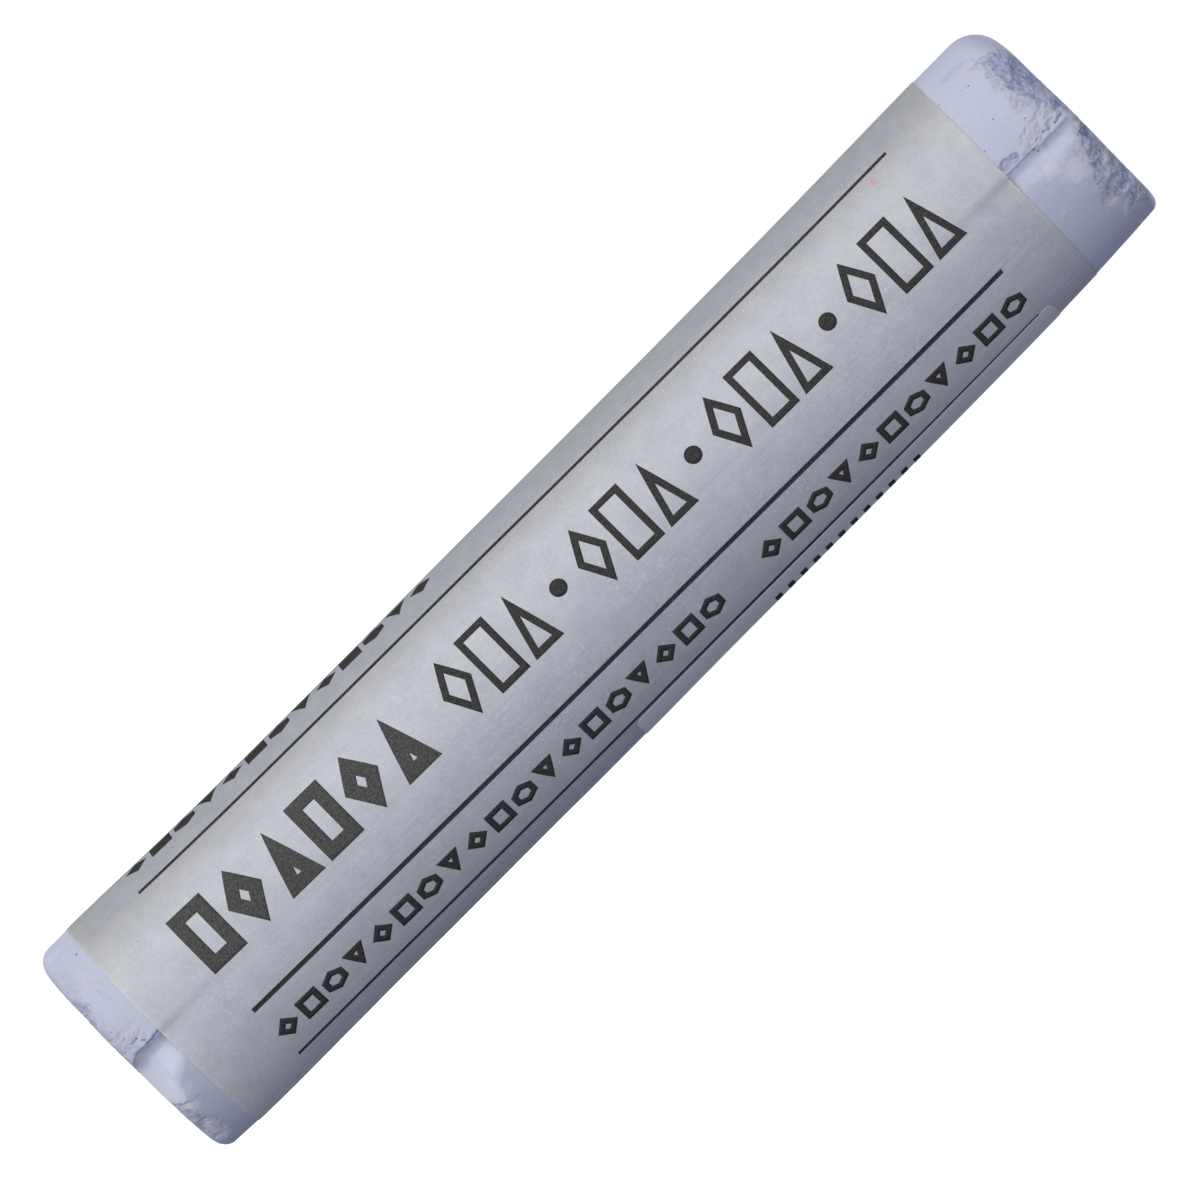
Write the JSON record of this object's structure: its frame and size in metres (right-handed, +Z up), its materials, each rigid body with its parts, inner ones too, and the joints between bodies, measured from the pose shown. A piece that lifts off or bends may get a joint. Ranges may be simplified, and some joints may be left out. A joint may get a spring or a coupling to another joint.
{
  "type": "soft pastel stick",
  "caption": "Round stick of pale violet-blue soft pastel, bare and chipped at both ends, in a translucent printed paper wrapper with a small side sticker.",
  "frame": {"origin": "centre of the bottom end, on the surface that the stick stands on", "axes": "+Z up the stick's axis from the end with the short bare stretch to the end with the long one; -Y towards the seam and the printed front; +X towards the sticker"},
  "size_m": [0.0132, 0.0132, 0.0635],
  "materials": {
    "pastel": "dry pressed chalky pigment, fully matte, with crumbled rims",
    "wrapper_paper": "thin translucent grey-white wrapping paper with dark printed rules and marks, matte",
    "sticker_paper": "smooth whitish adhesive label paper, semi-matte"
  },
  "bodies": {
    "root": {"pastel_stick": "pastel", "paper_wrapper": "wrapper_paper", "side_sticker": "sticker_paper"}
  },
  "joints": []
}
